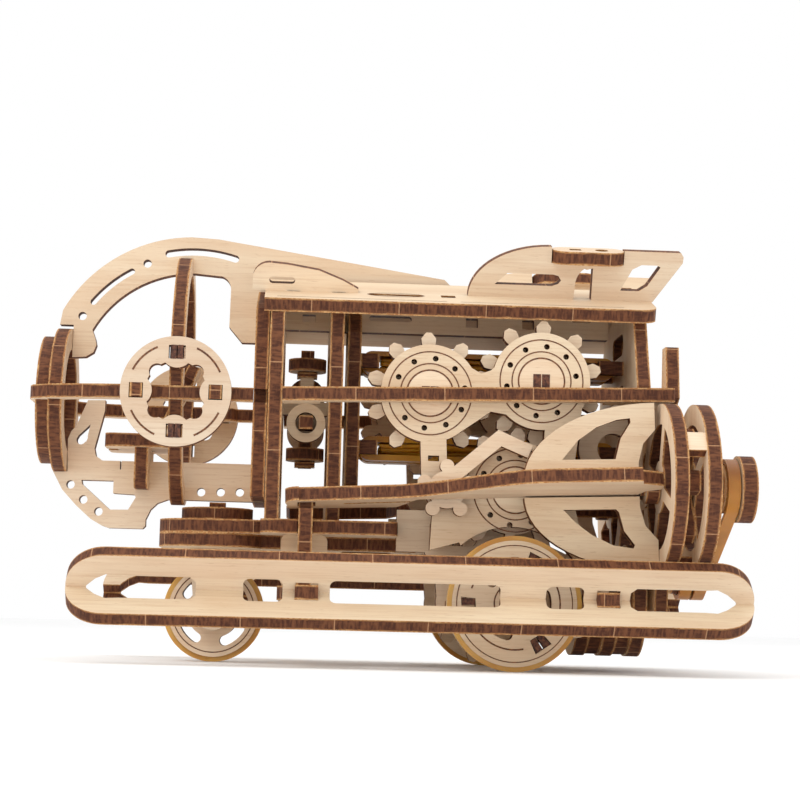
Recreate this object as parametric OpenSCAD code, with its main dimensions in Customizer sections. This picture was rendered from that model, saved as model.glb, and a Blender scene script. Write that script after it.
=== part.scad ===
// Wheeled plywood submarine construction model: laser-cut plates that plug
// together, a rubber-band motor, a four-gear side train that drives the rear
// wheels, a steerable front wheel and two ducted propellers on belts.
// X runs from the bow (-) to the stern (+), Y is across, Z is up.

/* [Sheet] */
// Thickness of the plywood sheet
t = 3; // [2.8:0.1:3.2]
// Radial running clearance between a round bush and its plate
run_fit = 0.05; // [0.02:0.01:0.08]

/* [Gear train] */
// Distance between the centres of two meshed gears
gear_pitch = 24.3; // [24.2:0.05:24.5]
// Tip radius of the petal teeth
gear_tip = 13.7; // [13.4:0.1:13.8]
// Radius of the gear body between the teeth
gear_root = 9.4; // [9:0.1:9.8]
// Radius of the round bush that carries each gear axle
bush_r = 5; // [4.6:0.1:5.4]
// Distance of the gear plane from the middle of the hull
gear_y = 21.8; // [21.7:0.05:21.9]

/* [Wheels] */
// Outer radius of the rear tyres
rear_r = 14.2; // [13.6:0.1:14.2]
// Outer radius of the front tyre
front_r = 11.2; // [10.8:0.1:11.3]
// Distance of the rear wheels from the middle of the hull
rear_track = 31.3; // [31:0.1:32]

/* [Nacelles] */
// Distance of each propeller shaft from the middle of the hull
nacelle_y = 32; // [31.8:0.1:32.2]
// Height of the propeller shafts
nacelle_z = 39.6; // [39.4:0.1:39.8]
// Outer radius of the duct rings
duct_r = 17.75; // [17.2:0.05:17.9]

/* [Floats] */
// Width of one float panel
float_w = 8.2; // [7.8:0.1:8.6]
// Distance of the float seam from the middle of the hull
float_y = 39; // [38.6:0.1:39.4]

/* [Hidden] */
$fn = 64;
mid_x = 0.35;              // shifts the model so that X = 0 is mid length
rear_x = 27.9;
rear_z = rear_r;
g4 = [rear_x, rear_z];
g3 = g4 + gear_pitch * [cos(89), sin(89)];
g2 = g3 + gear_pitch * [cos(77.5), sin(77.5)];
g1 = g2 + gear_pitch * [cos(188), sin(188)];
ph1 = 19.5;
ph2 = 18 + 2 * 8 - ph1;
ph3 = 18 + 2 * 257.5 - ph2;
ph4 = 18 + 2 * 269 - ph3;
steer_x = -36.2;
deck_tilt = 20;
ring_z = 57.8;
drum_z = 16;
pulley_z = 22.5;
wood = [0.86, 0.72, 0.55];
wood_dark = [0.45, 0.27, 0.17];
rubber = [0.80, 0.53, 0.12];

// ---------- helpers ----------
module at() translate([-mid_x, 0, 0]) children();
// plate in the XZ plane, centred on y = yc
module xz(yc, h = t) translate([0, yc + h / 2, 0]) rotate([90, 0, 0]) linear_extrude(h) children();
// plate in the YZ plane from x = x0
module yz(x0, h = t) translate([x0, 0, 0]) rotate([90, 0, 90]) linear_extrude(h) children();
// plate in the XY plane from z = z0
module xy(z0, h = t) translate([0, 0, z0]) linear_extrude(h) children();
module both() { children(); mirror([0, 1, 0]) children(); }
// slot with round ends between two points
module slot2(a, b, w) {
    d = b - a;
    translate(a) circle(w / 2, $fn = 24);
    translate(b) circle(w / 2, $fn = 24);
    translate(a) rotate(atan2(d[1], d[0])) translate([0, -w / 2]) square([norm(d), w]);
}
// rectangle with rounded corners between two corners
module rrect(a, b, r) {
    translate([a[0] + r, a[1]]) square([b[0] - a[0] - 2 * r, b[1] - a[1]]);
    translate([a[0], a[1] + r]) square([b[0] - a[0], b[1] - a[1] - 2 * r]);
    for (x = [a[0] + r, b[0] - r], y = [a[1] + r, b[1] - r]) translate([x, y]) circle(r, $fn = 32);
}
module rect(a, b) translate(a) square(b - a);
function arc(c, r, a0, a1, n = 12) = [for (i = [0:n]) let (a = a0 + (a1 - a0) * i / n) [c[0] + r * cos(a), c[1] + r * sin(a)]];
function earc(c, rx, ry, a0, a1, n = 16) = [for (i = [0:n]) let (a = a0 + (a1 - a0) * i / n) [c[0] + rx * cos(a), c[1] + ry * sin(a)]];
// curved slot
module arcslot(c, r, a0, a1, w, n = 12) {
    polygon(concat(arc(c, r + w / 2, a0, a1, n), arc(c, r - w / 2, a1, a0, n)));
    for (a = [a0, a1]) translate(c + r * [cos(a), sin(a)]) circle(w / 2, $fn = 20);
}
module pie(c, r0, r1, a0, a1, n = 8) polygon(concat(arc(c, r1, a0, a1, n), arc(c, r0, a1, a0, n)));
function deck_z(y) = 76 + (24 - abs(y)) * tan(deck_tilt);

// ---------- bow ----------
module keel_plate() color(wood) at() xz(0) difference() {
    polygon(concat([[-65.2, 72], [-64.9, 70.6], [-65.5, 68.9], [-67.2, 67.8], [-70.2, 67.6], [-70.2, 75], [-73.3, 75]],
        arc([-43, 62.5], 33.7, 152, 92, 20), [[-38, 95.9], [-34.7, 95.4], [-16, 92.7], [14, 88.3], [15.3, 87],
        [15.3, 86], [52, 86], [52, 75.5], [-25.3, 75.5], [-25.3, 72.2], [-32, 72.2], [-35, 75.7], [-34.9, 84.4]],
        arc([-38, 84.4], 3.1, 0, 70, 6), [[-43.1, 87.8]],
        arc([-43, 61.8], 26, 99, 152, 14)));
    translate([-68.3, 77.1]) circle(0.95, $fn = 24);
    translate([-54.1, 89.7]) circle(0.95, $fn = 24);
    arcslot([-43, 62.5], 29.15, 120, 142, 1.4);
    arcslot([-43, 62.5], 30.3, 73, 102, 1.7);
    slot2([-2.5, 78.8], [6, 78.8], 1.3);
    rect([-18.4, 77.4], [-15.4, 79.2]);
    rect([19.1, 77.4], [21.9, 79.5]);
    rect([32.1, 77.4], [34.9, 79.5]);
    slot2([44.4, 80.4], [47.2, 80.4], 2.2);
    rect([-46.7, 80], [-43.7, 91.2]);
    rect([-28.5, 70], [-25.4, 80]);
}
module bow_lower_plate() color(wood) at() xz(0) difference() {
    union() {
        polygon([[-70.1, 41.6], [-73.3, 41.5], [-71.1, 37.5], [-67.8, 34], [-64.5, 31.1], [-62, 29.7], [-60.4, 29.2],
            [-52.8, 29.2], [-52.2, 29.8], [-52.2, 31.3], [-51.2, 33.5], [-49.7, 35], [-47.4, 35.9], [-25.5, 35.9],
            [-25.5, 44.4], [-38, 44.4], [-62.4, 44.3], [-63.9, 45.3], [-64.3, 47], [-62.3, 55.7], [-62.3, 58],
            [-66.2, 57.9], [-68.6, 51.9], [-69.6, 50.8], [-70.3, 49]]);
    }
    polygon([[-66.9, 39.8], [-59.7, 39.8], [-59.7, 37], [-54.9, 36.8], [-54.6, 36.2], [-56.2, 33.4], [-60.3, 33.3], [-66.7, 38.9]]);
    slot2([-67.4, 48.8], [-66.9, 49.4], 2.0);
    polygon([[-68.1, 49.7], [-66.2, 48.4], [-65.4, 52.4]]);
    for (p = [[-69.3, 38.7], [-66.3, 35.4], [-62.8, 32.8], [-40, 37.8], [-35.6, 37.9], [-31.3, 38]]) translate(p) circle(0.95, $fn = 24);
    rect([-46.7, 30], [-43.7, 38.9]);
    rect([-54.7, 42], [-51.7, 50]);
    rect([-58.4, 42.4], [-58.1, 45]);
}
module bow_ring_outer() color(wood) at() yz(-76.3) difference() {
    translate([0, ring_z]) circle(14.4);
    translate([0, ring_z]) circle(9.6);
    for (s = [-1, 1]) rect([s > 0 ? 12 : -16, ring_z - 1.5], [s > 0 ? 16 : -12, ring_z + 1.5]);
}
module bow_ring_inner() color(wood) at() yz(-73.3) difference() {
    translate([0, ring_z]) circle(16.3);
    translate([0, ring_z]) circle(11.6);
    for (s = [-1, 1]) rect([s > 0 ? 14 : -18, ring_z - 1.5], [s > 0 ? 18 : -14, ring_z + 1.5]);
}
module bow_ring_main() color(wood) at() yz(-46.7) difference() {
    translate([0, 63]) polygon(earc([0, 0], 22.5, 28.2, 0, 360, 72));
    translate([0, 63]) polygon(earc([0, 0], 18.4, 24.2, 0, 360, 72));
    for (s = [-1, 1]) rect([s > 0 ? 20.4 : -24, ring_z - 1.5], [s > 0 ? 24 : -20.4, ring_z + 1.5]);
}
module rib_half() {
    polygon([[-77.4, 0], [-77.4, 14], [-76.6, 16.2], [-73, 18.6], [-67.5, 20.4], [-62, 21.6], [-56, 22.4], [-28.5, 22.4],
        [-28.5, 20.4], [-33, 20.4], [-34.5, 18.4], [-56, 18.4], [-64, 17.4], [-69, 15.4], [-70.3, 14], [-73.3, 14],
        [-73.3, 12], [-76.3, 12], [-76.3, 0]]);
}
module bow_rib() color(wood) at() xy(ring_z - 1.5) for (s = [0, 1]) mirror([0, s]) difference() {
    union() { rib_half(); for (x = [-54.8, -37.8]) rect([x, 21], [x + 2.6, 25.4]); }
    rect([-46.8, 17], [-43.6, 20.4]);
}
module porthole_frames() color(wood) at() both() xz(-23.9) translate([-45, 57.7]) difference() {
    circle(11.9);
    difference() {
        circle(6.6);
        for (a = [0:90:270]) rotate(a) translate([8.5, 0]) circle(3.4);
    }
    for (a = [45:90:315]) rotate(a) translate([5.9, 0]) circle(1.7, $fn = 24);
    for (a = [0, 180]) rotate(a) translate([8.5, 0]) square([3, 3.3], center = true);
    for (a = [90, 270]) rotate(a) translate([8.5, 0]) square([2.9, 3.6], center = true);
}
module cockpit_table() color(wood) at() {
    difference() {
        union() {
            xy(47) rrect([-61.4, -9], [-46.6, 9], 2);
            for (y = [-3.9, 3.9]) xz(y, 1.8) polygon([[-50.5, 50], [-46.8, 50], [-46.8, 53.4], [-50.5, 53.4]]);
        }
        xz(0, 30) translate([-48.7, 51.9]) circle(0.8 + run_fit, $fn = 32);
        translate([-65, -1.6, 46]) cube([6, 3.2, 5]);
    }
    yz(-54.7) difference() {
        polygon([[-8, 47], [-8, 39.5], [-6.5, 38], [6.5, 38], [8, 39.5], [8, 47]]);
        rect([-1.55, 37], [1.55, 42]);
    }
}
module cockpit_lever() color(wood_dark) at() translate([-48.7, 0, 51.9]) {
    rotate([90, 0, 0]) translate([0, 0, -4.8]) cylinder(r = 0.8, h = 9.6, $fn = 32);
    rotate([0, 24, 0]) {
        translate([-1.3, -1.5, -1.1]) cube([2.6, 3, 15.6]);
        translate([-1.3, -4, 12.5]) cube([2.6, 8, 3]);
    }
}

// ---------- frame ----------
module bulk(half, z0, inset = 0) polygon([[-half, z0], [-half, deck_z(half) - inset], [-1.5, deck_z(2)], [1.5, deck_z(2)], [half, deck_z(half) - inset], [half, z0]]);
module keel_notch() rect([-1.5, 72.2], [1.5, 90]);
module bulkhead_front() color(wood) at() yz(-28.5) difference() {
    bulk(21, 36);
    rrect([-13, 46.5], [13, 69], 5);
    rect([-1.5, 30], [1.5, 44.4]);
    keel_notch();
    for (s = [-1, 1]) rect([s > 0 ? 18.4 : -22, ring_z - 1.5], [s > 0 ? 22 : -18.4, ring_z + 1.5]);
}
module bulkhead_second() color(wood) at() yz(-25.2) difference() {
    union() { bulk(23.8, 31); polygon([[-26.4, 31], [-26.4, 72], [-23.5, 76], [23.5, 76], [26.4, 72], [26.4, 31]]); }
    rrect([-18, 37], [18, 54], 5);
    rrect([-18, 61], [18, 70], 3);
    rect([-1.5, 75.4], [1.5, 90]);
}
module bulkhead_mid() color(wood) at() yz(-12.1) difference() {
    bulk(20, 31);
    rrect([-14, 37], [14, 54], 5);
    rrect([-14, 61], [14, 71], 3);
    rect([-1.5, 75.5], [1.5, 90]);
}
module anchor_plate() color(wood_dark) at() difference() {
    union() {
        yz(-8) polygon([[-11, 40], [-11, 74], [-8, 79], [8, 79], [11, 74], [11, 40], [8, 37], [-8, 37]]);
        for (z = [68.2, 48.6]) {
            for (s = [-1, 1]) translate([-5, s * 7 - 1.2, z - 1.5]) cube([4.2, 2.4, 3]);
            translate([-2.2, 8.2, z]) rotate([90, 0, 0]) cylinder(r = 1.4, h = 16.4, $fn = 32);
        }
    }
    translate([-9, -1.5, 75.5]) cube([5, 3, 10]);
    for (z = [43, 58]) translate([-9, 0, z]) rotate([0, 90, 0]) cylinder(r = 2.4, h = 6);
}
module bulkhead_rear() color(wood) at() {
    difference() {
        yz(54.6) polygon([[-25.5, 55], [-25.5, 62], [-19.5, 77.6], [-1.5, 84], [1.5, 84], [19.5, 77.6], [25.5, 62], [25.5, 55], [16.2, 55], [14, 44], [-14, 44], [-16.2, 55]]);
        yz(54) rrect([-9, 55], [9, 64.5], 3);
        yz(54) rrect([-7, 71.5], [7, 76.5], 2);
    }
    for (z = [68.2, 48.6]) {
        for (s = [-1, 1]) translate([49, s * 7 - 1.2, z - 1.5]) cube([5.6, 2.4, 3]);
        translate([50.6, 8.2, z]) rotate([90, 0, 0]) cylinder(r = 1.4, h = 16.4, $fn = 32);
    }
}
module stern_frame() color(wood) at() difference() {
    yz(61.6) union() {
        polygon([[-13, 60], [-17, 62], [-17.5, 71.4], [-21, 71.4], [-22.5, 60], [-14.5, 55.5], [-9, 48], [-9, 30], [-12, 22], [-10, 9],
            [10, 9], [12, 22], [9, 30], [9, 48], [14.5, 55.5], [22.5, 60], [21, 71.4], [17.5, 71.4], [17, 62], [13, 60]]);
    }
    yz(61) { rrect([-5, 27], [5, 50], 3); }
    translate([60, 0, drum_z]) rotate([0, 90, 0]) cylinder(r = 3 + run_fit, h = 8);
    translate([60, 0, pulley_z]) rotate([0, 90, 0]) cylinder(r = 2 + run_fit, h = 8, $fn = 40);
}
module deck_plan() difference() {
    union() {
        rect([-26.7, 0], [55.4, 23.2]);
        rect([55, 4], [59.4, 23.2]);
        translate([55.4, 4]) circle(4, $fn = 40);
    }
    slot2([-3, 8], [7, 8], 2.2);
    rect([12.1, 7], [15.3, 9.6]);
    for (x = [-22, -12]) rect([x, 8.6], [x + 3, 10]);
}
module deck_near() color(wood) at() translate([0, -24, 76]) rotate([deck_tilt, 0, 0]) linear_extrude(t) deck_plan();
module deck_far() color(wood) at() mirror([0, 1, 0]) translate([0, -24, 76]) rotate([deck_tilt, 0, 0]) linear_extrude(t) deck_plan();
// plate that stands square on a deck, with its foot at distance d along the slope
module on_deck(d) translate([0, -24, 76]) rotate([deck_tilt, 0, 0]) translate([0, d, t]) xz(0) children();
module deck_fairings() color(wood) at() both() on_deck(10.5) difference() {
    polygon(concat([[-29.6, 0]], earc([-26, 2.6], 3.6, 3.5, 180, 90, 6), [[-22, 5.8], [-15, 4.7], [-9.6, 2.6], [-6.2, 0.8], [-6.2, 0]]));
    slot2([-25.2, 2.3], [-21, 2.3], 1.5);
}
module tower_side() on_deck(11.5) difference() {
    polygon(concat([[18.2, 0]], earc([36.4, 0], 18.2, 11.7, 176, 92, 16), [[36.4, 11.7], [36.4, 8.1], [52.6, 8.1],
        [52.6, 11.3], [65.3, 11.3], [65.9, 10.4], [65.8, 9], [59.6, 0]]));
    polygon([[24, 2.9], [36.8, 2.9], [38.2, 3.4], [38.8, 4.2], [38.2, 5.2], [37, 5.5], [26.8, 5.5]]);
    polygon(concat([[45.8, -0.1], [45.8, 7.2], [44.4, 6.8]], arc([46.4, 3.4], 4.4, 125, 180, 6), [[41.8, -0.1]]));
    polygon([[52.2, 2.4], [56.4, 2.4], [58.2, 3.6], [60.9, 7.9], [60.2, 8.3], [56.6, 8.3], [54.6, 7.2]]);
}
module tower_sides() color(wood) at() both() tower_side();
module tower_caps() color(wood) at() both() translate([0, -24, 76]) rotate([deck_tilt, 0, 0]) translate([0, 0, t + 8.1]) linear_extrude(t) difference() {
    union() { rect([40, 7.6], [49.1, 14.6]); translate([40, 11.1]) circle(3.5, $fn = 40); translate([49.1, 11.1]) circle(3.5, $fn = 40); }
    rect([40.4, 10], [43, 12]);
    translate([47.6, 11.1]) circle(1.5, $fn = 32);
}
// the rails climb slightly towards the stern
module side_rails() color(wood) at() both() translate([-22.2, 0, 55.9]) rotate([0, -1.57, 0]) translate([22.2, 0, -55.9]) xy(55.9) {
    rrect([-22.1, 26.9], [62.2, 30], 0.6);
    rect([-22.1, 23.9], [-14, 27.2]);
    rect([47.5, 23.2], [54.6, 27.2]);
    rect([57.75, 15], [61.6, 27.2]);
}
// ---------- gear side plates ----------
module bores(r) for (c = [g1, g2, g3]) translate(c) circle(r);
module gear_plate(y) xz(y) difference() {
    union() {
        translate(g1) circle(10.6);
        translate(g2) circle(10.6);
        translate(g3) circle(10.6);
        polygon([g1 + [2, 9.6], g1 + [11, 4.6], g2 + [-11, 2], g2 + [-3, 9], g2 + [2, -9.6], g2 + [-8, -7.4], g1 + [13.2, -3.6], g1 + [7, -8]]);
        polygon([[7.6, 51], [13.2, 50.4], [13.6, 42], [20, 40.4], [20, 28], [10.2, 25.2], [10.6, 34], [8.2, 38]]);
        polygon([[18, 40], [36.5, 44], [40.5, 38], [42.5, 30], [44.5, 22], [38, 20], [18, 24], [16, 28]]);
        polygon([g2 + [1, -9], g2 + [9, -5], [40.5, 40], [34, 44]]);
    }
    translate(g4) circle(16.4);
    bores(bush_r + run_fit);
    for (c = [g1, g2, g3], a = [10:36:350]) translate(c + 7.6 * [cos(a), sin(a)]) circle(0.62, $fn = 16);
    rect([9.4, 44.2], [11.8, 45.4]);
}
module gear_plate_near() color(wood) at() { gear_plate(-25.1); xz(-28.2, 3.2) translate([13.4, 38]) circle(1.5, $fn = 40); }
module gear_plate_far() color(wood) at() { gear_plate(25.1); xz(27.4, 1.6) translate([13.4, 38]) circle(1.5, $fn = 40); }
module inner_side_plates() color(wood) at() {
    both() xz(-18) difference() {
        union() {
            polygon([[3.4, 25], [3.4, 34], [22, 34], [30, 25], [42, 24], [50, 20], [50, 9.5], [44, 7.5], [34, 6], [20, 8], [13, 9.5], [12, 20], [9.6, 25]]);
            translate([17.3, 14.4]) circle(5);
        }
        translate(g4) circle(4 + run_fit);
        rect([44, 13.8], [48.8, 16.8]);
        rrect([14, 26.5], [21, 31], 1.5);
    }
    both() translate([10.6, -23.6, 28]) cube([3, 4.6, 3]);
    yz(40.4) difference() { rect([-17, 8.5], [17, 23]); translate([0, drum_z]) circle(3 + run_fit, $fn = 48); }
}
module stern_side_plates() color(wood) at() both() xz(-18.4) difference() {
    union() { translate([50.4, 48.6]) circle(7.5); polygon([[54.6, 40], [54.6, 60], [50, 58], [44.5, 52], [43.5, 44], [48, 40]]); }
    translate([50.4, 48.6]) circle(3.4);
    rect([57, 38], [70, 62]);
}
// ---------- chassis ----------
module chassis_outline() { rrect([-48.3, -19], [-20, 19], 9); rrect([-26, -26.4], [3.4, 26.4], 2); }
module chassis_top_plate() color(wood) at() xy(28) difference() {
    chassis_outline();
    translate([steer_x, 0]) circle(4 + run_fit);
    rrect([-8, -12], [-1, 12], 1.5);
    for (s = [-1, 1]) rect([-18.1, s > 0 ? 25 : -27], [-14.7, s > 0 ? 27 : -25]);
}
module chassis_bottom_plate() color(wood) at() xy(25) difference() {
    union() { rrect([-48.3, -19], [-25.4, 19], 9); rrect([-30, -13], [9.4, 13], 2); rect([8, -16.5], [14, 16.5]); }
    translate([steer_x, 0]) circle(9 + run_fit);
    rrect([-8, -9], [3, 9], 1.5);
    for (s = [-1, 1]) rect([2.9, s > 0 ? 16.5 : -19.5], [9.7, s > 0 ? 19.5 : -16.5]);
}
// ---------- floats ----------
// one float panel in its own plane: x along the hull, y outwards from the seam
module float_panel(tab) difference() {
    union() {
        rect([-64.9 + float_w, 0], [77.1 - float_w, float_w]);
        for (p = [[-64.9 + float_w, 0], [77.1 - float_w, 0]]) intersection() { translate(p) circle(float_w, $fn = 72); rect([-70, 0], [80, 12]); }
    }
    w = 3.2;
    polygon(concat([[-38.4, -1], [-38.4, w - 1.2], [-39.6, w], [-54, w]], [[-56.6, 3.4], [-58.8, 2.2], [-60.6, 0.4], [-61, -1]]));
    rrect([-28.7, -6], [-20.7, w], 1.4);
    rect([-18.2, -1], [-13.4, 2.5]);
    rrect([-11, -6], [24.1, w], 1.4);
    rrect([33.6, -6], [41.4, w], 1.4);
    rect([44.1, -1], [48.9, 2.5]);
    polygon(concat([[51.1, -1], [51.1, w - 1.2], [52.3, w], [66.4, w]], [[69, 3.4], [71.2, 2.2], [73.2, 0.4], [73.6, -1]]));
}
module float_upper() translate([0, -float_y, 15.3]) rotate([-50, 0, 0]) mirror([0, 1, 0]) linear_extrude(t) float_panel(1);
module float_lower() translate([0, -float_y, 15.3]) rotate([40, 0, 0]) mirror([0, 1, 0]) translate([0, 0, -t]) linear_extrude(t) float_panel(0);
module float_upper_panels() color(wood) at() both() float_upper();
module float_lower_panels() color(wood) at() both() float_lower();
module outriggers() color(wood) at() both() {
    // front and rear cross members with a tab through each float
    xy(13.8) polygon([[-22, -16.5], [-22, -26], [-18.2, -33], [-18.2, -41], [-13.4, -41], [-13.4, -33], [-11, -26], [-11, -16.5]]);
    xy(13.8) rect([44.1, -41], [48.7, -16.5]);
    xz(-19.5) difference() { rrect([-21.5, 16.8], [-11.5, 28], 1.5); rect([-18, 16.8], [-15, 20]); }
}
module arm_posts() color(wood) at() both() yz(-17.9) polygon([[-31, 16.8], [-31, 33.1], [-28.2, 33.4], [-28.2, 36.6], [-25.5, 36.6], [-25.5, 33.1], [-25.2, 33.1], [-25.2, 16.8]]);
// ---------- wings and nacelles ----------
module wing_frame(roll = -8) translate([45, -nacelle_y, 38.8]) rotate([roll, 0, 0]) rotate([0, -2.3, 0]) translate([-45, nacelle_y, 0]) children();
module wing() wing_frame() xy(-1.5) mirror([0, 1]) difference() {
    polygon(concat([[-20, 22.4], [3, 22.4], [7, 30.4], [21, 30.6], [30, 31.5], [37, 28.4], [44.8, 27.6], [48, 21], [57.6, 16.5], [58.4, 16.5], [58.4, 18.4], [57.6, 18.4], [57.6, 26],
        [54.6, 27.6], [53.2, 32], [54.6, 36.4], [57.6, 38], [57.6, 41.4], [52.8, 44], [52.4, 46.4], [35, 46], [28, 45], [22.5, 42.2], [13.6, 36.4], [8, 33.4], [3.4, 31.9],
        [-5, 31.3], [-18, 30.2]], arc([-18, 28.2], 2.9, 90, 180, 6)));
    slot2([-8, 27], [6, 28.2], 1.1);
    rect([-18.3, 24.8], [-14.5, 28.9]);
}
module wing_near() color(wood) at() wing();
module wing_far() color(wood) at() mirror([0, 1, 0]) wing();
module wing_fin_pair() wing_frame(0) {
    xz(-nacelle_y) difference() {
        polygon(concat([[29.4, 1.75]], earc([57.6, 1.75], 28.2, 16.4, 176, 90, 14), [[57.6, 12.4], [55, 9.5], [53.9, 5.5], [53.9, 1.75]]));
        polygon(concat([[37.6, 6.2]], [[41, 10.2], [45, 13], [49.5, 14.6], [52.3, 14.9], [52.4, 14]], [[50.2, 10.6], [49, 6.2]]));
    }
    xz(-nacelle_y) difference() {
        polygon(concat([[29.4, -1.75], [53.9, -1.75], [53.9, -4], [55, -8], [57.6, -11]], earc([57.6, -1.75], 28.2, 15.7, 270, 184, 14)));
        polygon(concat([[37.6, -4.4], [48.8, -4.4], [49.4, -5], [50.4, -9], [52.6, -12], [52.3, -12.7]], [[48, -12], [43.6, -9.8], [40, -7]]));
    }
}
module wing_fins() color(wood) at() both() wing_fin_pair();
module duct(spokes) difference() {
    union() {
        difference() { circle(duct_r, $fn = 96); circle(13.4, $fn = 80); }
        circle(5.6);
        for (a = spokes) rotate(a) translate([0, -1.4]) square([15, 2.8]);
    }
    circle(2 + run_fit, $fn = 40);
}
module duct_rings_front() color(wood) at() both() translate([0, -nacelle_y, nacelle_z]) {
    yz(58.3) duct([20, 110, 200, 290]);
    // spacer blocks between the two rings of a duct
    for (a = [60, 180, 300]) rotate([a, 0, 0]) translate([61.3, -2.2, 14.6]) cube([3.8, 4.4, 2.6]);
}
module duct_rings_rear() color(wood) at() both() translate([0, -nacelle_y, nacelle_z]) yz(65.1) duct([65, 155, 245, 335]);
module propeller(near) translate([0, -nacelle_y, nacelle_z]) {
    rotate([0, 90, 0]) translate([0, 0, 54.2]) cylinder(r = 2, h = 23.9, $fn = 40);
    rotate([0, 90, 0]) translate([0, 0, 55.2]) cylinder(r = 3.6, h = 2.8);
    rotate([0, 90, 0]) translate([0, 0, 68.5]) cylinder(r = near ? 4.6 : 5.2, h = 3.1);
    rotate([0, 90, 0]) translate([0, 0, 71.6]) cylinder(r = near ? 5.2 : 4.6, h = 3.2);
    rotate([0, 90, 0]) translate([0, 0, 74.8]) cylinder(r = 7.1, h = 3.3);
    yz(61.9, 2.7) difference() {
        union() { circle(4.4); for (a = [0:60:300]) rotate(a) polygon([[2, -1.4], [7, -2.6], [11, -2.9], [13, -1.8], [13, 1.4], [10, 2.2], [2, 1.4]]); }
        circle(1);
    }
}
module propeller_near() color(wood_dark) at() propeller(true);
module propeller_far() color(wood_dark) at() mirror([0, 1, 0]) propeller(false);
module drum() color(wood) at() translate([0, 0, drum_z]) rotate([0, 90, 0]) {
    translate([0, 0, 40.4]) cylinder(r = 3, h = 24, $fn = 48);
    for (i = [0:4]) translate([0, 0, 44.2 + 3.1 * i]) cylinder(r = i % 2 == 0 ? 12.6 : 12.2, h = 3.1, $fn = 72);
}
module belt_pulley() color(wood_dark) at() translate([0, 0, pulley_z]) rotate([0, 90, 0]) {
    translate([0, 0, 60]) cylinder(r = 2, h = 16, $fn = 40);
    translate([0, 0, 60]) cylinder(r = 3.2, h = 1.3, $fn = 40);
    translate([0, 0, 67]) cylinder(r = 4.7, h = 8);
}
// ---------- rubber ----------
// stretched band round two pegs, in the XZ plane
module band(a, b, r, w, yc, h) xz(yc, h) difference() {
    union() { slot2(a, b, 2 * (r + w)); }
    slot2(a, b, 2 * r);
}
module rubber_bands() color(rubber) at() for (y = [-3.2, 3.2]) {
    band([-2.2, 68.2], [50.6, 68.2], 1.4, 1.1, y, 4.4);
    band([-2.2, 48.6], [50.6, 48.6], 1.4, 1.3, y, 4.4);
}
belt_w = 2.6;
belt_len = norm([nacelle_y, nacelle_z - pulley_z]);
module belt(px) translate([px, 0, pulley_z]) yz(-belt_w / 2, belt_w) rotate(atan2(nacelle_z - pulley_z, -nacelle_y)) difference() {
    union() { circle(6.0); translate([belt_len, 0]) circle(6.4); polygon([[0, -6], [belt_len, -6.4], [belt_len, 6.4], [0, 6]]); }
    circle(5.0);
    translate([belt_len, 0]) circle(5.4);
    polygon([[0, -5], [belt_len, -5.4], [belt_len, 5.4], [0, 5]]);
}
module drive_belts() color(rubber) at() { belt(73.2); mirror([0, 1, 0]) belt(70); }
// ---------- steering and front wheel ----------
module steering_turntable() color(wood_dark) at() translate([steer_x, 0, 0]) {
    translate([0, 0, 25]) cylinder(r = 9, h = 2.9);
    translate([0, 0, 27.9]) cylinder(r = 4, h = 3.5);
    translate([0, 0, 31.4]) cylinder(r = 8, h = 2.8);
    translate([-1.8, -1.5, 34.2]) cube([3.6, 3, 1.4]);
}
module front_fork() color(wood) at() both() xz(-5.6) difference() {
    union() { translate([steer_x, front_r]) circle(4.2); polygon([[steer_x - 4.2, front_r], [steer_x - 5.5, 25], [steer_x + 5.5, 25], [steer_x + 4.2, front_r]]); }
    translate([steer_x, front_r]) circle(1.5 + run_fit, $fn = 40);
}
module front_wheel() color(wood) at() {
    translate([steer_x, 0, front_r]) rotate([90, 0, 0]) translate([0, 0, -8]) cylinder(r = 1.5, h = 16, $fn = 40);
    translate([steer_x, 0, front_r]) rotate([90, 0, 0]) translate([0, 0, -3.7]) cylinder(r = 3, h = 7.4);
    xz(0, 5.4) translate([steer_x, front_r]) difference() {
        circle(10.1);
        for (a = [40, 130, 220, 310]) arcslot([0, 0], 7, a - 18, a + 18, 2.2, 6);
    }
}
module front_tyre() color(rubber) at() xz(0, 4.4) translate([steer_x, front_r]) difference() { circle(front_r, $fn = 96); circle(10.1); }
// ---------- gears ----------
module tooth() polygon([[gear_root - 1, -0.95], [gear_root + 0.6, -1.1], [gear_root + 1.9, -1.5], [gear_root + 3, -1.6],
    [gear_tip - 0.9, -1.3], [gear_tip, -0.6], [gear_tip, 0.6], [gear_tip - 0.9, 1.3], [gear_root + 3, 1.6],
    [gear_root + 1.9, 1.5], [gear_root + 0.6, 1.1], [gear_root - 1, 0.95]]);
module gear(c, ph) translate(c) difference() {
    union() { circle(gear_root); for (i = [0:9]) rotate(ph + 36 * i) tooth(); }
    square([3.6, 3], center = true);
}
module gear_pair(c, ph) both() xz(-gear_y) gear(c, ph);
module front_gears() color(wood) at() gear_pair(g1, ph1);
module middle_gears() color(wood) at() gear_pair(g2, ph2);
module lower_gears() color(wood) at() gear_pair(g3, ph3);
module rear_gears() color(wood) at() gear_pair(g4, ph4);
module gear_axle(c) {
    translate([c[0] - 1.8, -26.5, c[1] - 1.5]) cube([3.6, 53, 3]);
    for (y = [-25.1, 25.1]) xz(y) translate(c) circle(bush_r);
    for (y = [-19.4, 19.4]) xz(y, 1.8) translate(c) circle(4);
}
module front_gear_axle() color(wood) at() gear_axle(g1);
module middle_gear_axle() color(wood) at() gear_axle(g2);
module lower_gear_axle() color(wood) at() gear_axle(g3);
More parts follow.
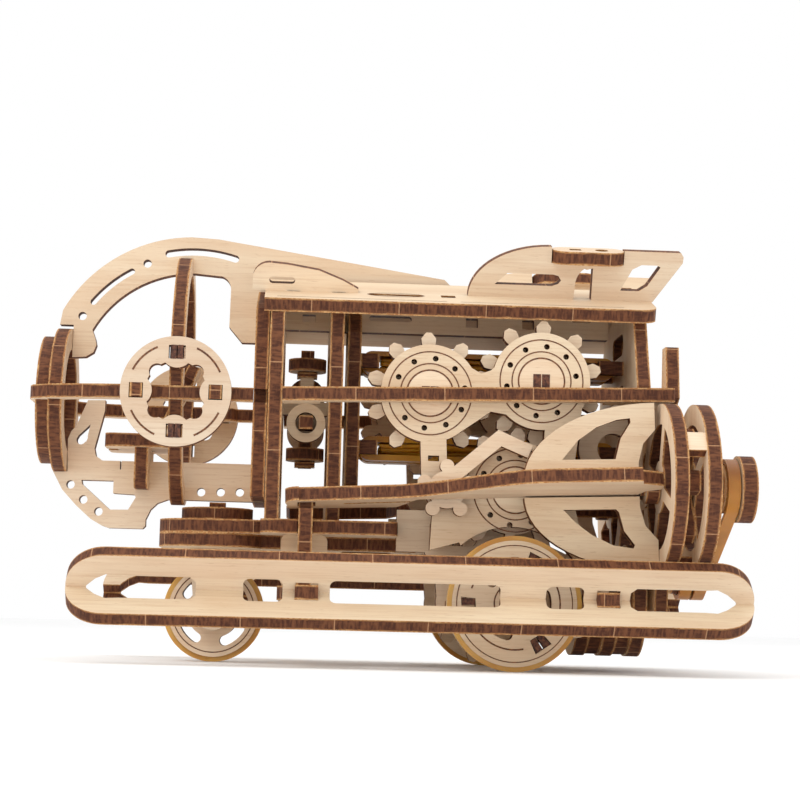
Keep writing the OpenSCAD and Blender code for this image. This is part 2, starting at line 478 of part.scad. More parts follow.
module rear_axle() color(wood) at() {
    translate([rear_x - 1.8, -34, rear_z - 1.5]) cube([3.6, 68, 3]);
    for (y = [-18, 18]) xz(y) translate(g4) circle(4);
    for (y = [-26.6, 26.6]) xz(y, 6.4) translate(g4) circle(4.6);
}
module rear_wheels() color(wood) at() both() xz(-rear_track) translate(g4) difference() {
    circle(rear_r - 1);
    square([3.6, 3], center = true);
    for (a = [0:60:300]) rotate(a + 4) if (a % 120 != 0) polygon([[8.2, -1.5], [11.2, -2], [11.2, 2], [8.2, 1.5]]); else arcslot([0, 0], 6.6, -13, 13, 2.4, 6);
}
module rear_tyres() color(rubber) at() both() xz(-rear_track, 2.6) translate(g4) difference() { circle(rear_r, $fn = 96); circle(rear_r - 1, $fn = 64); }
// ---------- levers ----------
module mode_lever() color(wood) at() xz(-28, 2.4) difference() {
    union() {
        translate([13.4, 38]) circle(4);
        for (a = [90:72:378]) translate([13.4, 38] + 5 * [cos(a), sin(a)]) circle(1.5, $fn = 32);
        polygon([[14.6, 38.9], [24.9, 47.6], [30.6, 45.3], [31.6, 47.9], [24.2, 51.1], [12.9, 41.3]]);
    }
    translate([13.4, 38]) circle(1.5 + run_fit, $fn = 32);
}
roller_x = -16.9;
module roller_cross() color(wood_dark) at() translate([roller_x, 0, 0]) {
    translate([-1.5, -1.5, 44]) cube([3, 3, 26.8]);
    translate([-5.3, -1.5, 56]) cube([10.1, 3, 3]);
    translate([-1.5, -13.9, 51.6]) cube([3, 27.8, 3]);
    for (z = [44.2, 64.6]) translate([-2.3, -2.3, z]) cube([4.6, 4.6, 1]);
    for (s = [-1, 1]) translate([-2.3, s * 8.7 - 0.5, 50.8]) cube([4.6, 1, 4.6]);
    translate([0, 4.4, 60.5]) rotate([90, 0, 0]) cylinder(r = 4.2, h = 2.9);
}
module roller(h) difference() { cylinder(r = 4.3, h = h, $fn = 64); translate([0, 0, -1]) cylinder(r = 2.35, h = h + 2, $fn = 40); }
module vertical_rollers() color(wood_dark) at() translate([roller_x, 0, 0]) for (z = [66, 45.6]) translate([0, 0, z]) roller(2.8);
module cross_rollers() color(wood) at() both() translate([roller_x, -9.6, 53.1]) rotate([90, 0, 0]) roller(2.8);

// ---------- output ----------
keel_plate();
bow_lower_plate();
bow_ring_outer();
bow_ring_inner();
bow_ring_main();
bow_rib();
porthole_frames();
cockpit_table();
cockpit_lever();
bulkhead_front();
bulkhead_second();
bulkhead_mid();
anchor_plate();
bulkhead_rear();
stern_frame();
deck_near();
deck_far();
deck_fairings();
tower_sides();
tower_caps();
side_rails();
gear_plate_near();
gear_plate_far();
inner_side_plates();
stern_side_plates();
chassis_top_plate();
chassis_bottom_plate();
float_upper_panels();
float_lower_panels();
outriggers();
arm_posts();
wing_near();
wing_far();
wing_fins();
duct_rings_front();
duct_rings_rear();
rubber_bands();
drive_belts();
steering_turntable();
front_fork();
front_wheel();
front_tyre();
front_gears();
front_gear_axle();
middle_gears();
middle_gear_axle();
lower_gears();
lower_gear_axle();
rear_gears();
rear_axle();
rear_wheels();
rear_tyres();
propeller_near();
propeller_far();
drum();
belt_pulley();
mode_lever();
roller_cross();
vertical_rollers();
cross_rollers();
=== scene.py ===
"""Looks of the plywood submarine model: pale birch faces, charred laser-cut edges, amber rubber."""
import math
import bpy
import numpy as np
from mathutils import Matrix, Vector


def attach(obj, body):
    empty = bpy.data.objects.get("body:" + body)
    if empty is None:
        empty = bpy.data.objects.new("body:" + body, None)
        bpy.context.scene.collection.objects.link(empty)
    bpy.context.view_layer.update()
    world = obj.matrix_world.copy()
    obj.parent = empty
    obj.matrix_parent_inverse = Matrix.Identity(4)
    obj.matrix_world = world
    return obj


bpy.ops.wm.read_factory_settings(use_empty=True)
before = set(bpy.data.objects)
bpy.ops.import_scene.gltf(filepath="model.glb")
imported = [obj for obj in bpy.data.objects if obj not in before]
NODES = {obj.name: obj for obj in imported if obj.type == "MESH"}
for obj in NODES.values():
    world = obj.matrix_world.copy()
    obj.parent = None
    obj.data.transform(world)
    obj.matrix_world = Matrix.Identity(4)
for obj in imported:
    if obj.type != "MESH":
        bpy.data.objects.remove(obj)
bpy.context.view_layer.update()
MX = 0.35                      # model frame: X = (design x - MX) / 1000


def P(x, y, z):
    return Vector(((x - MX) / 1000, y / 1000, z / 1000))


# ------------------------------------------------------------------ materials
class Mat:
    """Small helper around a node tree."""

    def __init__(self, name):
        self.m = bpy.data.materials.new(name)
        self.m.use_nodes = True
        self.t = self.m.node_tree
        self.b = self.t.nodes["Principled BSDF"]

    def n(self, kind, **kw):
        node = self.t.nodes.new(kind)
        for k, v in kw.items():
            setattr(node, k, v)
        return node

    def link(self, a, b):
        self.t.links.new(a, b)

    def val(self, sock, v):
        if hasattr(v, "is_output"):
            self.link(v, sock)
        else:
            sock.default_value = v

    def math(self, op, a, b=0.0, c=0.0, clamp=False):
        nd = self.n("ShaderNodeMath", operation=op, use_clamp=clamp)
        self.val(nd.inputs[0], a)
        self.val(nd.inputs[1], b)
        if len(nd.inputs) > 2:
            self.val(nd.inputs[2], c)
        return nd.outputs[0]

    def coords(self, scale, offset=None):
        tc = self.n("ShaderNodeTexCoord")
        mp = self.n("ShaderNodeMapping")
        mp.inputs["Scale"].default_value = scale
        self.link(tc.outputs["Object"], mp.inputs["Vector"])
        out = mp.outputs[0]
        if offset is not None:
            add = self.n("ShaderNodeVectorMath", operation="ADD")
            self.link(out, add.inputs[0])
            self.link(offset, add.inputs[1])
            out = add.outputs[0]
        return out

    def noise(self, vec, scale=1.0, detail=2.0, rough=0.5, dist=0.0):
        nd = self.n("ShaderNodeTexNoise")
        nd.inputs["Scale"].default_value = scale
        nd.inputs["Detail"].default_value = detail
        nd.inputs["Roughness"].default_value = rough
        nd.inputs["Distortion"].default_value = dist
        self.link(vec, nd.inputs["Vector"])
        return nd.outputs["Fac"]

    def smooth(self, x, lo, hi, to_lo=0.0, to_hi=1.0):
        nd = self.n("ShaderNodeMapRange", interpolation_type="SMOOTHSTEP")
        nd.inputs["From Min"].default_value = lo
        nd.inputs["From Max"].default_value = hi
        nd.inputs["To Min"].default_value = to_lo
        nd.inputs["To Max"].default_value = to_hi
        self.link(x, nd.inputs["Value"])
        return nd.outputs["Result"]

    def mix(self, fac, a, b, blend="MIX"):
        nd = self.n("ShaderNodeMix", data_type="RGBA", blend_type=blend)
        self.val(nd.inputs[0], fac)
        for sock, v in ((nd.inputs[6], a), (nd.inputs[7], b)):
            if hasattr(v, "is_output"):
                self.link(v, sock)
            else:
                sock.default_value = (*v, 1.0)
        return nd.outputs[2]

    def bump(self, height, strength, dist):
        nd = self.n("ShaderNodeBump")
        nd.inputs["Strength"].default_value = strength
        nd.inputs["Distance"].default_value = dist
        self.link(height, nd.inputs["Height"])
        self.link(nd.outputs[0], self.b.inputs["Normal"])


def lin(r, g, b):
    return tuple(((c / 255 + 0.055) / 1.055) ** 2.4 if c > 10 else c / 255 / 12.92 for c in (r, g, b))


def attr(M, name):
    a = M.n("ShaderNodeAttribute")
    a.attribute_name = name
    return a


def face_material(name, axis, tone=1.0):
    """Birch veneer with its grain along one axis (0 X, 2 Z)."""
    M = Mat(name)
    rnd = attr(M, "plank")
    off = M.n("ShaderNodeVectorMath", operation="SCALE")
    off.inputs["Scale"].default_value = 37.0
    M.link(rnd.outputs["Vector"], off.inputs[0])
    o = off.outputs[0]

    def sc(along, across):
        v = [across] * 3
        v[axis] = along
        return tuple(v)
    fibre = M.noise(M.coords(sc(70, 2100), o), 1.0, 4.0, 0.6)
    band = M.noise(M.coords(sc(14, 190), o), 1.0, 3.0, 0.55, 0.6)
    fleck = M.noise(M.coords(sc(420, 5200), o), 1.0, 2.0, 0.5)
    cloud = M.noise(M.coords((38, 38, 38), o), 1.0, 2.0, 0.5)
    base = lin(229, 202, 173)
    warm = lin(209, 174, 140)
    pale = lin(238, 217, 190)
    c = M.mix(M.smooth(band, 0.35, 0.68), base, pale)
    c = M.mix(M.math("MULTIPLY", M.smooth(fibre, 0.44, 0.72), 0.42), c, warm)
    c = M.mix(M.math("MULTIPLY", M.smooth(cloud, 0.45, 0.75), 0.22), c, warm)
    c = M.mix(M.math("MULTIPLY", M.smooth(fleck, 0.62, 0.75), 0.35), c, lin(176, 133, 96))
    sep = M.n("ShaderNodeSeparateXYZ")
    M.link(rnd.outputs["Vector"], sep.inputs[0])
    shade = M.math("MULTIPLY_ADD", sep.outputs[1], -0.16, 1.03 * tone)
    cmb = M.n("ShaderNodeCombineXYZ")
    M.link(shade, cmb.inputs[0])
    M.link(M.math("MULTIPLY", shade, 0.995), cmb.inputs[1])
    M.link(M.math("MULTIPLY_ADD", sep.outputs[2], -0.06, shade), cmb.inputs[2])
    c = M.mix(1.0, c, cmb.outputs[0], "MULTIPLY")
    M.link(c, M.b.inputs["Base Color"])
    M.b.inputs["Roughness"].default_value = 0.62
    M.b.inputs["Specular IOR Level"].default_value = 0.28
    h = M.math("ADD", M.math("MULTIPLY", fibre, 0.7), M.math("MULTIPLY", fleck, 0.3))
    M.bump(h, 0.35, 0.00006)
    return M.m


def edge_material(name, deep, mid, tan, amber, nibs=True):
    """Charred cut edge of the sheet: dark core, speckled golden rims, thin nib lines.
    The corner attribute 'ply' holds depth through the sheet, distance along the cut, sheet thickness, in mm."""
    M = Mat(name)
    a = attr(M, "ply")
    sep = M.n("ShaderNodeSeparateXYZ")
    M.link(a.outputs["Vector"], sep.inputs[0])
    depth, u, T = sep.outputs
    rim = M.math("MINIMUM", depth, M.math("SUBTRACT", T, depth))
    grit = M.noise(M.coords((1700, 1700, 1700)), 1.0, 4.0, 0.65)
    soft = M.noise(M.coords((260, 260, 260)), 1.0, 2.0, 0.5)
    uv = M.n("ShaderNodeCombineXYZ")
    M.link(M.math("MULTIPLY", u, 1.7), uv.inputs[0])
    M.link(M.math("MULTIPLY", depth, 0.32), uv.inputs[1])
    streak = M.noise(uv.outputs[0], 1.0, 3.0, 0.55)
    uv2 = M.n("ShaderNodeCombineXYZ")
    M.link(M.math("MULTIPLY", u, 0.35), uv2.inputs[0])
    M.link(M.math("MULTIPLY", depth, 2.2), uv2.inputs[1])
    layer = M.noise(uv2.outputs[0], 1.0, 2.0, 0.5)
    r = M.math("ADD", rim, M.math("MULTIPLY_ADD", grit, 0.85, -0.42))
    r = M.math("ADD", r, M.math("MULTIPLY_ADD", streak, 0.24, -0.12))
    r = M.math("ADD", r, M.math("MULTIPLY_ADD", soft, -0.6, 0.30))
    core = M.mix(M.smooth(streak, 0.36, 0.68), deep, mid)
    core = M.mix(M.math("MULTIPLY", M.smooth(layer, 0.5, 0.75), 0.45), core, mid)
    core = M.mix(M.math("MULTIPLY", M.smooth(grit, 0.60, 0.80), 0.35), core, amber)
    rimc = M.mix(M.smooth(grit, 0.38, 0.66), amber, tan)
    c = M.mix(M.smooth(r, 0.12, 0.5), rimc, core)
    if nibs:
        w = M.math("FRACT", M.math("DIVIDE", u, 19.0))
        dist = M.math("MULTIPLY", M.math("ABSOLUTE", M.math("SUBTRACT", w, 0.5)), 19.0)
        dist = M.math("ADD", dist, M.math("MULTIPLY_ADD", grit, 0.22, -0.11))
        nib = M.smooth(dist, 0.05, 0.16, 1.0, 0.0)
        c = M.mix(M.math("MULTIPLY", nib, 0.55), c, lin(214, 166, 122))
    M.link(c, M.b.inputs["Base Color"])
    M.b.inputs["Roughness"].default_value = 0.7
    M.b.inputs["Specular IOR Level"].default_value = 0.25
    M.bump(M.math("ADD", M.math("MULTIPLY", streak, 0.7), M.math("MULTIPLY", grit, 0.5)), 0.5, 0.00012)
    return M.m


def rubber_material(name, base, dark, rough):
    M = Mat(name)
    n1 = M.noise(M.coords((90, 90, 90)), 1.0, 3.0, 0.5)
    n2 = M.noise(M.coords((900, 900, 900)), 1.0, 3.0, 0.6)
    c = M.mix(M.smooth(n1, 0.35, 0.7), base, dark)
    M.link(c, M.b.inputs["Base Color"])
    M.b.inputs["Roughness"].default_value = rough
    M.b.inputs["Subsurface Weight"].default_value = 0.35
    M.b.inputs["Subsurface Radius"].default_value = (1.0, 0.55, 0.15)
    M.b.inputs["Subsurface Scale"].default_value = 0.0012
    M.b.inputs["Specular IOR Level"].default_value = 0.45
    M.bump(n2, 0.25, 0.00005)
    return M.m


def burn_material():
    """Engraved line: scorched brown."""
    M = Mat("engraved_burn")
    n1 = M.noise(M.coords((1500, 1500, 1500)), 1.0, 3.0, 0.6)
    c = M.mix(M.smooth(n1, 0.35, 0.68), lin(84, 50, 34), lin(134, 86, 54))
    M.link(c, M.b.inputs["Base Color"])
    M.b.inputs["Roughness"].default_value = 0.8
    M.bump(n1, 0.3, 0.00005)
    return M.m


FACE_X = face_material("birch_face_long", 0)
FACE_Z = face_material("birch_face_up", 2)
EDGE = edge_material("charred_edge", lin(76, 42, 28), lin(118, 73, 47), lin(216, 172, 116), lin(160, 106, 62))
EDGE_SOFT = edge_material("charred_edge_small", lin(60, 32, 25), lin(112, 66, 46), lin(206, 158, 102), lin(150, 94, 54), False)
TYRE = rubber_material("amber_tyre", lin(214, 168, 88), lin(190, 132, 50), 0.35)
BAND = rubber_material("amber_band", lin(206, 146, 26), lin(170, 108, 16), 0.42)
BELT = rubber_material("amber_belt", lin(190, 128, 44), lin(146, 90, 30), 0.4)
BURN = burn_material()


# ------------------------------------------------------------------ sheet faces and cut edges
def find(p, i):
    while p[i] != i:
        p[i] = p[p[i]]
        i = p[i]
    return i


def dress(o, seed, mats=None, wide=3.35):
    """Sorts a triangle mesh into veneer faces and cut edges, and writes the corner attributes."""
    me = o.data
    nv, nf = len(me.vertices), len(me.polygons)
    co = np.empty(nv * 3, np.float32)
    me.vertices.foreach_get("co", co)
    co = co.reshape(-1, 3).astype(float) * 1000
    F = np.empty(nf * 3, np.int32)
    me.loops.foreach_get("vertex_index", F)
    F = F.reshape(-1, 3)
    _, vid = np.unique(np.round(co, 3), axis=0, return_inverse=True)
    vid = vid.ravel()
    Q = co[F]
    N = np.cross(Q[:, 1] - Q[:, 0], Q[:, 2] - Q[:, 0])
    A = np.linalg.norm(N, axis=1)
    N = N / np.maximum(A, 1e-12)[:, None]
    tri = vid[F]
    pairs = {}
    for i in range(nf):
        for k in range(3):
            a, b = int(tri[i, k]), int(tri[i, (k + 1) % 3])
            pairs.setdefault((a, b) if a < b else (b, a), []).append(i)
    par, solid = list(range(nf)), list(range(nf))
    L = np.max([np.linalg.norm(Q[:, k] - Q[:, (k + 1) % 3], axis=1) for k in range(3)], axis=0)
    thin = A / np.maximum(L, 1e-9) < 0.012       # slivers have no dependable normal
    for (a, b), fs in pairs.items():
        for j in fs[1:]:
            i = fs[0]
            ra, rb = find(solid, i), find(solid, j)
            if ra != rb:
                solid[rb] = ra
            if thin[i] or thin[j]:
                continue
            if N[i] @ N[j] > 0.99985:
                ra, rb = find(par, i), find(par, j)
                if ra != rb:
                    par[rb] = ra
    for _ in range(3):                            # a sliver joins the neighbour across its longest side
        for i in np.where(thin)[0]:
            i = int(i)
            if find(par, i) != i:
                continue
            best = None
            for k in range(3):
                a, b = int(tri[i, k]), int(tri[i, (k + 1) % 3])
                for j in pairs[(a, b) if a < b else (b, a)]:
                    ln = float(np.linalg.norm(Q[i, k] - Q[i, (k + 1) % 3]))
                    if j != i and not (thin[j] and find(par, j) == find(par, i)) and (best is None or ln > best[0]):
                        if not thin[j] or find(par, j) != j:
                            best = (ln, j)
            if best:
                par[i] = find(par, best[1])
    reg = np.array([find(par, i) for i in range(nf)])
    sol = np.array([find(solid, i) for i in range(nf)])
    members = {}
    for i, r in enumerate(reg):
        members.setdefault(int(r), []).append(i)
    nrm, width = {}, {}
    for r, fs in members.items():
        n = (N[fs] * (A[fs] * ~thin[fs])[:, None]).sum(0)
        n = n / np.linalg.norm(n) if np.linalg.norm(n) > 1e-9 else np.array([0, 0, 1.0])
        nrm[r] = n
        h = np.array([1.0, 0, 0]) if abs(n[0]) < 0.8 else np.array([0, 1.0, 0])
        e1 = np.cross(n, h)
        e1 /= np.linalg.norm(e1)
        e2 = np.cross(n, e1)
        pts = Q[fs].reshape(-1, 3)
        flat = np.stack([pts @ e1, pts @ e2], 1)
        t3 = flat.reshape(-1, 3, 2)
        ed = np.concatenate([t3[:, 1] - t3[:, 0], t3[:, 2] - t3[:, 1], t3[:, 0] - t3[:, 2]])
        ln = np.hypot(ed[:, 0], ed[:, 1])
        pick = np.argsort(-ln, kind="stable")[:24]      # directions of the longest triangle sides
        u = ed[pick] / np.maximum(ln[pick], 1e-9)[:, None]
        dirs = np.concatenate([u, np.stack([-u[:, 1], u[:, 0]], 1)]).T
        d = flat @ dirs
        width[r] = (d.max(0) - d.min(0)).min()
    is_face = {r: width[r] > wide for r in members}
    nb = {}
    for (a, b), fs in pairs.items():
        if len(fs) == 2:
            ra, rb = int(reg[fs[0]]), int(reg[fs[1]])
            if ra != rb:
                va, vb = None, None
                i = fs[0]
                for k in range(3):
                    if tri[i, k] == a:
                        va = Q[i, k]
                    if tri[i, k] == b:
                        vb = Q[i, k]
                ln = float(np.linalg.norm(va - vb))
                nb.setdefault(ra, []).append((rb, ln, va, vb))
                nb.setdefault(rb, []).append((ra, ln, va, vb))
    rng = np.random.default_rng(seed)
    tone = {}
    for s in sorted(set(sol.tolist())):
        tone[s] = rng.random(3)
    axis = {}
    for r in members:
        if is_face[r]:
            continue
        best = None
        for q, ln, _, _ in nb.get(r, []):
            if is_face[q] and abs(nrm[q] @ nrm[r]) < 0.4 and (best is None or ln > best[0]):
                best = (ln, q)
        if best:
            n = nrm[best[1]]
            k = int(np.argmax(np.abs(n)))
            axis[r] = n if n[k] > 0 else -n
    left = [r for r in members if not is_face[r] and r not in axis]
    for _ in range(4):
        for r in list(left):
            for q, ln, _, _ in nb.get(r, []):
                if q in axis and abs(axis[q] @ nrm[r]) < 0.4:
                    axis[r] = axis[q]
                    left.remove(r)
                    break
    for r in left:
        pts = Q[members[r]].reshape(-1, 3)
        ex = pts.max(0) - pts.min(0)
        cand = [k for k in range(3) if abs(nrm[r][k]) < 0.7]
        k = min(cand, key=lambda k: ex[k]) if cand else 1
        n = np.zeros(3)
        n[k] = 1.0
        axis[r] = n
    ply = np.zeros((nf * 3, 3), np.float32)
    uoff, stack = {}, []
    for start in axis:
        if start in uoff:
            continue
        uoff[start] = float(rng.random() * 19)
        stack = [start]
        while stack:
            r = stack.pop()
            n = axis[r]
            t = np.cross(n, nrm[r])
            t /= max(np.linalg.norm(t), 1e-9)
            for q, ln, va, vb in nb.get(r, []):
                if q in axis and q not in uoff and axis[q] @ n > 0.98:
                    t2 = np.cross(axis[q], nrm[q])
                    t2 /= max(np.linalg.norm(t2), 1e-9)
                    m = (va + vb) / 2
                    uoff[q] = uoff[r] + float(m @ t) - float(m @ t2)
                    stack.append(q)
    plank = np.zeros((nf * 3, 3), np.float32)
    idx = np.zeros(nf, np.int32)
    for r, fs in members.items():
        if is_face[r]:
            n = np.abs(nrm[r])
            idx[fs] = 1 if n[0] > 0.75 else 0
        else:
            idx[fs] = 2
            n = axis[r]
            t = np.cross(n, nrm[r])
            t /= max(np.linalg.norm(t), 1e-9)
            pts = Q[fs].reshape(-1, 3)
            d = pts @ n
            lo, hi = d.min(), d.max()
            rows = (np.array(fs)[:, None] * 3 + np.arange(3)).ravel()
            ply[rows, 0] = d - lo
            ply[rows, 1] = pts @ t + uoff[r]
            ply[rows, 2] = hi - lo
    for s, v in tone.items():
        rows = np.where(sol == s)[0]
        plank[(rows[:, None] * 3 + np.arange(3)).ravel()] = v
    for nm, arr in (("ply", ply), ("plank", plank)):
        at = me.attributes.new(nm, "FLOAT_VECTOR", "CORNER")
        at.data.foreach_set("vector", arr.ravel())
    me.materials.clear()
    for m in mats or (FACE_X, FACE_Z, EDGE):
        me.materials.append(m)
    me.polygons.foreach_set("material_index", idx)
    me.update()


RUBBER = {"rubber_bands": BAND, "drive_belts": BELT, "front_tyre": TYRE, "rear_tyres": TYRE}
for i, name in enumerate(sorted(NODES)):
    o = NODES[name]
    if name in RUBBER:
        o.data.materials.clear()
        o.data.materials.append(RUBBER[name])
        o.data.polygons.foreach_set("material_index", np.zeros(len(o.data.polygons), np.int32))
        continue
    dress(o, 100 + i)

# ------------------------------------------------------------------ engraving, tabs and rubber strands
def piece(name, verts, faces, body, mat):
    me = bpy.data.meshes.new(name)
    me.from_pydata([P(*v) for v in verts], [], faces)
    me.materials.append(mat)
    me.update()
    ob = bpy.data.objects.new(name, me)
    bpy.context.scene.collection.objects.link(ob)
    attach(ob, body)
    return ob


class Flat:
    """Collects thin engraved strips that lie on a plate, then makes one piece of them."""

    def __init__(self, place):
        self.place, self.v, self.f = place, [], []

    def strip(self, left, right, close=False):
        k, n = len(self.v), len(left)
        for a, b in zip(left, right):
            self.v += [self.place(*a), self.place(*b)]
        for i in range(n if close else n - 1):
            j = (i + 1) % n
            self.f.append((k + 2 * i, k + 2 * j, k + 2 * j + 1, k + 2 * i + 1))

    def arc(self, c, r, a0, a1, w=0.3):
        full = abs(a1 - a0) >= 360
        n = max(8, int(abs(a1 - a0) / 5))
        an = [math.radians(a0 + (a1 - a0) * i / n) for i in range(n if full else n + 1)]
        self.strip([(c[0] + (r + w / 2) * math.cos(t), c[1] + (r + w / 2) * math.sin(t)) for t in an],
                   [(c[0] + (r - w / 2) * math.cos(t), c[1] + (r - w / 2) * math.sin(t)) for t in an], full)

    def line(self, pts, w=0.3):
        lf, rt = [], []
        for i, p in enumerate(pts):
            a, b = pts[max(i - 1, 0)], pts[min(i + 1, len(pts) - 1)]
            dx, dy = b[0] - a[0], b[1] - a[1]
            m = math.hypot(dx, dy)
            lf.append((p[0] - dy / m * w / 2, p[1] + dx / m * w / 2))
            rt.append((p[0] + dy / m * w / 2, p[1] - dx / m * w / 2))
        self.strip(lf, rt)

    def done(self, name, body, mat=None):
        return piece(name, self.v, self.f, body, mat or BURN)


def boxes(name, items, body, mat, place=lambda x, y, z: (x, y, z)):
    v, f = [], []
    for (x0, y0, z0), (x1, y1, z1) in items:
        k = len(v)
        v += [place(*c) for c in ((x0, y0, z0), (x1, y0, z0), (x1, y1, z0), (x0, y1, z0), (x0, y0, z1), (x1, y0, z1), (x1, y1, z1), (x0, y1, z1))]
        f += [tuple(k + i for i in q) for q in ((0, 3, 2, 1), (4, 5, 6, 7), (0, 1, 5, 4), (1, 2, 6, 5), (2, 3, 7, 6), (3, 0, 4, 7))]
    return piece(name, v, f, body, mat)


def dark_material():
    """Char of a tab end seen from outside."""
    M = Mat("charred_tab")
    n1 = M.noise(M.coords((1300, 1300, 1300)), 1.0, 3.0, 0.6)
    c = M.mix(M.smooth(n1, 0.36, 0.7), lin(58, 30, 24), lin(118, 72, 48))
    M.link(c, M.b.inputs["Base Color"])
    M.b.inputs["Roughness"].default_value = 0.75
    M.bump(n1, 0.3, 0.00006)
    return M.m


TAB = dark_material()
RX, RZ = 27.9, 14.2
G = [(RX, RZ)]
for a in (89, 77.5, 188):
    G.append((G[-1][0] + 24.3 * math.cos(math.radians(a)), G[-1][1] + 24.3 * math.sin(math.radians(a))))
for side, s in (("near", -1), ("far", 1)):
    e = Flat(lambda x, z, s=s: (x, s * 26.64, z))
    for c in G[1:]:
        e.arc(c, 9.0, 0, 360, 0.28)
        e.arc(c, 6.4, 0, 360, 0.28)
        e.arc(c, 5.0, 0, 360, 0.34)
    e.done("gear_plate_engraving_" + side, "hull")
    for c, b in zip(G[1:], ("lower_gear_set", "middle_gear_set", "front_gear_set")):
        lo, hi = sorted((s * 26.3, s * 26.68))
        boxes("axle_end_%s_%s" % (b, side), [((c[0] - 1.8, lo, c[1] - 1.5), (c[0] - 0.1, hi, c[1] + 1.5)), ((c[0] + 0.1, lo, c[1] - 1.5), (c[0] + 1.8, hi, c[1] + 1.5))], b, TAB)
    e = Flat(lambda x, z, s=s: (x, s * 25.44, z))
    for a0, a1 in ((25, 66), (114, 155), (205, 246), (294, 335)):
        e.arc((-45, 57.7), 10.3, a0, a1, 0.42)
    e.done("porthole_engraving_" + side, "hull")
    boxes("porthole_tabs_" + side, [((-46.3, min(s * 22.5, s * 25.5), 57.7 + d - 1.5), (-45.1, max(s * 22.5, s * 25.5), 57.7 + d + 1.5)) for d in (8.5, -8.5)]
          + [((-44.9, min(s * 22.5, s * 25.5), 57.7 + d - 1.5), (-43.7, max(s * 22.5, s * 25.5), 57.7 + d + 1.5)) for d in (8.5, -8.5)], "hull", TAB)
    # deck engraving, laid on the tilted plate
    ct, st = math.cos(math.radians(20)), math.sin(math.radians(20))

    def deck(x, d, s=s):
        h = 3.04
        return (x, s * (24 - (d * ct - h * st)), 76 + d * st + h * ct)
    e = Flat(deck)
    e.line([(-4.2 + 12.6 * i / 24 * 1.0, 8 + 2.1 * math.sqrt(max(0.0, 1 - ((i / 24) * 2 - 1) ** 2))) for i in range(25)], 0.25)
    e.line([(-4.2 + 12.6 * i / 24 * 1.0, 8 - 2.1 * math.sqrt(max(0.0, 1 - ((i / 24) * 2 - 1) ** 2))) for i in range(25)], 0.25)
    e.line([(-24, 2.0), (13, 2.0)], 0.2)
    e.line([(16, 2.0), (52, 2.0)], 0.2)
    e.done("deck_engraving_" + side, "hull")
    # wheel engraving and tabs
    w = Flat(lambda x, z, s=s: (x, s * (31.3 + 1.54), z))
    for a in (64, 184, 304):
        w.arc((RX, RZ), 9.6, a + 22, a + 98, 0.35)
    w.arc((RX, RZ), 4.3, 0, 360, 0.3)
    w.arc((RX, RZ), 12.2, 0, 360, 0.22)
    w.done("rear_wheel_engraving_" + side, "rear_axle_set")
    vv, ff = [], []
    for a in (64, 184, 304):
        ca, sa = math.cos(math.radians(a)), math.sin(math.radians(a))
        for t0, t1 in ((-1.6, -0.2), (0.2, 1.6)):
            k = len(vv)
            for y in (s * 30.2, s * 32.95):
                for rr, tt in ((8.3, t0 * 0.9), (11.1, t0 * 1.1), (11.1, t1 * 1.1), (8.3, t1 * 0.9)):
                    vv.append((RX + rr * ca - tt * sa, y, RZ + rr * sa + tt * ca))
            ff += [tuple(k + i for i in q) for q in ((0, 1, 2, 3), (7, 6, 5, 4), (0, 4, 5, 1), (1, 5, 6, 2), (2, 6, 7, 3), (3, 7, 4, 0))]
    piece("rear_wheel_tabs_" + side, vv, ff, "rear_axle_set", TAB)
    w = Flat(lambda x, z, s=s: (x, s * 2.74, z))
    w.arc((-36.2, 11.2), 9.1, 0, 360, 0.25)
    w.arc((-36.2, 11.2), 3.6, 0, 360, 0.3)
    w.done("front_wheel_engraving_" + side, "front_wheel_set")


def tube(paths, name, body, mat, sides=8):
    v, f = [], []
    for pts, r in paths:
        k = len(v)
        n = len(pts)
        for i in range(n):
            a, b = Vector(pts[max(i - 1, 0)]), Vector(pts[min(i + 1, n - 1)])
            d = (b - a).normalized()
            h = Vector((0, 1, 0)) if abs(d.y) < 0.9 else Vector((1, 0, 0))
            e1 = d.cross(h).normalized()
            e2 = d.cross(e1)
            for j in range(sides):
                t = 2 * math.pi * j / sides
                v.append(tuple(Vector(pts[i]) + e1 * (r * math.cos(t)) + e2 * (r * math.sin(t))))
        for i in range(n - 1):
            for j in range(sides):
                q = (j + 1) % sides
                f.append((k + i * sides + j, k + i * sides + q, k + (i + 1) * sides + q, k + (i + 1) * sides + j))
        f.append(tuple(k + j for j in range(sides))[::-1])
        f.append(tuple(k + (n - 1) * sides + j for j in range(sides)))
    ob = piece(name, v, f, body, mat)
    for p in ob.data.polygons:
        p.use_smooth = True
    return ob


# slack strands lying between the stretched runs of each band
rng = np.random.default_rng(7)
for z0, nm in ((68.2, "upper"), (48.6, "lower")):
    paths = []
    for yc in (-3.2, 3.2):
        for q in range(5):
            amp, ph, fr = 0.28 + 0.2 * rng.random(), 6.28 * rng.random(), 0.16 + 0.12 * rng.random()
            yy, zz = yc + (q - 2) * 0.85, z0 + (rng.random() - 0.5) * 1.5
            pts = []
            for i in range(61):
                x = -0.2 + 48.6 * i / 60
                env = math.sin(math.pi * i / 60) ** 0.4 if 0 < i < 60 else 0.0
                pts.append((x, yy + 0.12 * math.sin(fr * 1.7 * x + ph), zz * 1.0 + env * amp * math.sin(fr * x + ph)))
            paths.append((pts, 0.5))
    tube(paths, "band_strands_" + nm, "hull", BAND)

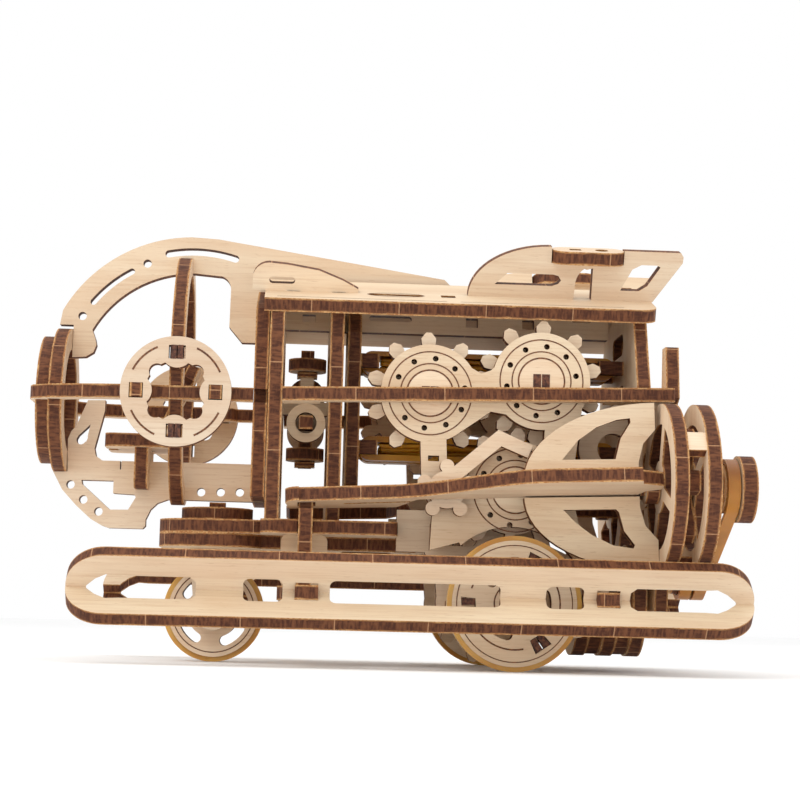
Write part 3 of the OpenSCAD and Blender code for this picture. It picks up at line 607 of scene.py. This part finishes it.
# ------------------------------------------------------------------ floor, light, camera
def floor_material():
    M = Mat("pale_floor")
    n = M.noise(M.coords((6, 6, 6)), 1.0, 2.0, 0.5)
    M.link(M.mix(M.smooth(n, 0.3, 0.7), (0.96, 0.96, 0.96), (0.97, 0.97, 0.97)), M.b.inputs["Base Color"])
    M.b.inputs["Roughness"].default_value = 0.9
    M.b.inputs["Specular IOR Level"].default_value = 0.1
    return M.m


me = bpy.data.meshes.new("floor")
me.from_pydata([(-6, -6, 0), (6, -6, 0), (6, 6, 0), (-6, 6, 0)], [], [(0, 1, 2, 3)])
floor = bpy.data.objects.new("floor", me)
bpy.context.scene.collection.objects.link(floor)
me.materials.append(floor_material())

sc = bpy.context.scene
world = bpy.data.worlds.new("world")
sc.world = world
world.use_nodes = True
bg = world.node_tree.nodes["Background"]
bg.inputs["Color"].default_value = (1.0, 1.0, 1.0, 1.0)
bg.inputs["Strength"].default_value = 1.0
sc.view_settings.view_transform = "Standard"
sc.view_settings.look = "None"


def area(name, loc, target, size, power, colour=(1, 1, 1)):
    d = bpy.data.lights.new(name, "AREA")
    d.shape = "RECTANGLE"
    d.size, d.size_y = size
    d.energy = power
    d.color = colour
    ob = bpy.data.objects.new(name, d)
    sc.collection.objects.link(ob)
    ob.location = loc
    ob.rotation_mode = "QUATERNION"
    ob.rotation_quaternion = (Vector(target) - Vector(loc)).to_track_quat("-Z", "Y")
    return ob


area("key", (-0.25, -0.42, 0.62), (0, 0, 0.05), (0.5, 0.4), 1.5, (1.0, 0.985, 0.96))
area("top", (0.1, 0.15, 0.8), (0, 0, 0.05), (0.7, 0.7), 1.2)

cam_data = bpy.data.cameras.new("camera")
cam = bpy.data.objects.new("camera", cam_data)
sc.collection.objects.link(cam)
yaw, pitch, roll = math.radians(3.0), math.radians(6.8), math.radians(1.45)
cy, sy, cp, sp = math.cos(yaw), math.sin(yaw), math.cos(pitch), math.sin(pitch)
f = Vector((sy * cp, cy * cp, sp))
r0 = Vector((cy, -sy, 0))
u0 = r0.cross(f)
r2 = math.cos(roll) * r0 + math.sin(roll) * u0
u2 = -math.sin(roll) * r0 + math.cos(roll) * u0
rot = Matrix((r2, u2, -f)).transposed()
cam.matrix_world = Matrix.Translation(P(-18.0, -429.0, 9.106)) @ rot.to_4x4()
cam_data.sensor_width = 36.0
cam_data.lens = 1889.0 * 36.0 / 800.0
cam_data.clip_start, cam_data.clip_end = 0.01, 50.0
sc.camera = cam
